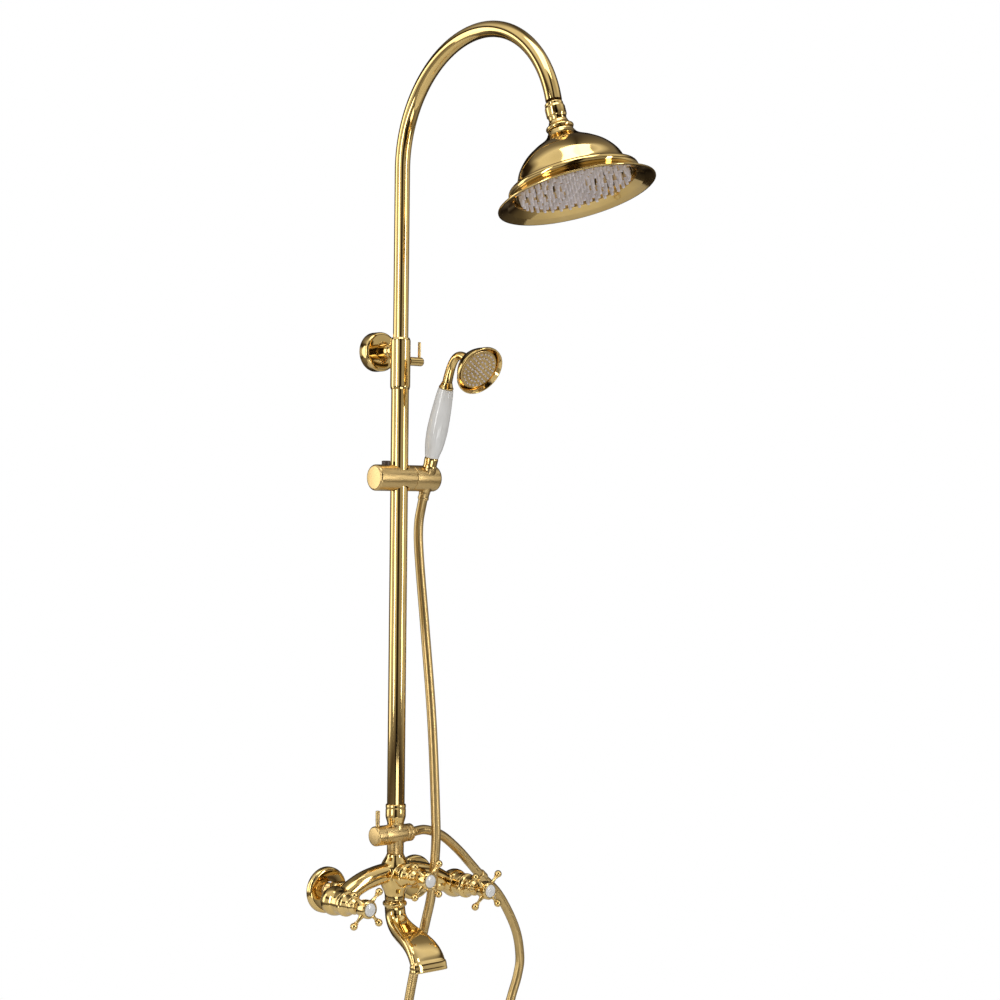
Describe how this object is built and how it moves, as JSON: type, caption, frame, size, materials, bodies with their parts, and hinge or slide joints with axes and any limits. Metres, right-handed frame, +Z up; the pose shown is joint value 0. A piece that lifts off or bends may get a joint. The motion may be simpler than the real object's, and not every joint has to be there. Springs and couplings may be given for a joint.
{
  "type": "rainfall shower column",
  "caption": "Wall-mounted shower column: bath mixer with cross handles and spout, telescopic riser, gooseneck rain head, slider and telephone hand shower on a hose.",
  "frame": {"origin": "on the wall plane, midway between the two water inlets", "axes": "+X along the wall from the hot inlet to the cold one, +Y into the wall, +Z up"},
  "size_m": [0.3601, 0.4908, 1.496],
  "materials": {
    "polished": "polished",
    "satin": "satin",
    "porcelain": "glossy",
    "ceramic": "matte",
    "nylon": "matte",
    "rubber": "matte",
    "silicone": "matte",
    "dark": "satin",
    "hose": "satin"
  },
  "bodies": {
    "mixer": {"mixer_body": "polished", "inlet_flange_left": "polished", "inlet_flange_right": "polished", "inlet_union_left": "satin", "inlet_union_right": "satin", "union_nut_left": "polished", "union_nut_right": "polished", "cartridge_hot": "ceramic", "cartridge_cold": "ceramic", "cartridge_divert": "ceramic", "bonnet_hot": "polished", "bonnet_cold": "polished", "bonnet_divert": "polished", "spout_tail": "satin", "tee_body": "satin", "tee_cartridge": "ceramic", "hose_outlet_nut": "satin", "riser_coupling": "polished", "riser_lower_tube": "polished", "riser_sleeve": "polished", "bracket_stem": "polished", "bracket_flange": "polished", "bracket_plate": "satin", "shower_hose": "hose"},
    "hot_handle": {"handle_hot": "polished", "index_hot": "porcelain", "spindle_hot": "satin"},
    "cold_handle": {"handle_cold": "polished", "index_cold": "porcelain", "spindle_cold": "satin"},
    "divert_handle": {"handle_divert": "polished", "index_divert": "porcelain", "spindle_divert": "satin"},
    "swivel_spout": {"spout": "polished", "spout_o_ring": "rubber"},
    "tee_diverter": {"tee_knob": "satin", "tee_pin": "satin"},
    "lock": {"lock_screw": "polished"},
    "telescope": {"guide_bush": "nylon"},
    "arm": {"riser_arm": "polished", "swivel_ball": "satin"},
    "head_ring": {"ball_seat": "nylon"},
    "rain_head": {"swivel_nut": "polished", "head_collar": "polished", "rain_bell": "polished", "spray_plate": "polished", "rain_nozzles": "silicone"},
    "slider": {"slider_body": "satin", "slider_liner": "nylon"},
    "release": {"slider_button": "dark"},
    "holder": {"handset_holder": "satin"},
    "hose_end": {"hose_cone_nut": "satin", "hose_sleeve": "satin"},
    "handset": {"handset_ferrule": "polished", "handset_handle": "porcelain", "handset_collar": "polished", "handset_head": "polished", "handset_face": "satin", "handset_nozzles": "silicone"}
  },
  "joints": [
    {"name": "hot_turn", "type": "hinge", "parent": "mixer", "child": "hot_handle", "pos_m": [-0.102, -0.06, -0.0025], "axis": [0, -1, 0], "range_deg": [0, 90]},
    {"name": "cold_turn", "type": "hinge", "parent": "mixer", "child": "cold_handle", "pos_m": [0.102, -0.06, -0.0025], "axis": [0, -1, 0], "range_deg": [-90, 0]},
    {"name": "divert_turn", "type": "hinge", "parent": "mixer", "child": "divert_handle", "pos_m": [0, -0.057, 0.022], "axis": [0, -1, 0], "range_deg": [0, 90]},
    {"name": "spout_swivel", "type": "hinge", "parent": "mixer", "child": "swivel_spout", "pos_m": [0, -0.057, 0], "axis": [0, 0, 1], "range_deg": [-40, 26]},
    {"name": "tee_knob_turn", "type": "hinge", "parent": "mixer", "child": "tee_diverter", "pos_m": [-0.03, -0.057, 0.075], "axis": [1, 0, 0], "range_deg": [-90, 0]},
    {"name": "lock_screw_turn", "type": "hinge", "parent": "mixer", "child": "lock", "pos_m": [0.02, -0.057, 0.716], "axis": [1, 0, 0], "range_deg": [-90, 0]},
    {"name": "riser_height", "type": "slide", "parent": "mixer", "child": "telescope", "axis": [0, 0, 1], "range_m": [-0.15, 0.09]},
    {"name": "arm_swing", "type": "hinge", "parent": "telescope", "child": "arm", "pos_m": [0, -0.057, 0.9], "axis": [0, 0, 1], "range_deg": [-60, 60]},
    {"name": "head_pitch", "type": "hinge", "parent": "arm", "child": "head_ring", "pos_m": [0, -0.36358, 1.01239], "axis": [1, 0, 0], "range_deg": [-8, 12]},
    {"name": "head_roll", "type": "hinge", "parent": "head_ring", "child": "rain_head", "pos_m": [0, -0.36358, 1.01239], "axis": [0, -0.961, 0.2765], "range_deg": [-12, 3]},
    {"name": "slider_slide", "type": "slide", "parent": "mixer", "child": "slider", "axis": [0, 0, 1], "range_m": [-0.4, 0.085], "deforming": ["shower_hose"]},
    {"name": "button_press", "type": "slide", "parent": "slider", "child": "release", "axis": [0, 0, 1], "range_m": [-0.003, 0], "stiffness_N_per_m": 900},
    {"name": "holder_tilt", "type": "hinge", "parent": "slider", "child": "holder", "pos_m": [0.02, -0.057, 0.557], "axis": [1, 0, 0], "range_deg": [-5, 25], "deforming": ["shower_hose"]},
    {"name": "handset_lift", "type": "slide", "parent": "holder", "child": "hose_end", "axis": [0, -0.3007, 0.9537], "range_m": [0, 0.045], "deforming": ["shower_hose"]},
    {"name": "handset_turn", "type": "hinge", "parent": "hose_end", "child": "handset", "pos_m": [0.044, -0.063, 0.557], "axis": [0, -0.3007, 0.9537], "range_deg": [-60, 60], "deforming": ["shower_hose"]}
  ]
}
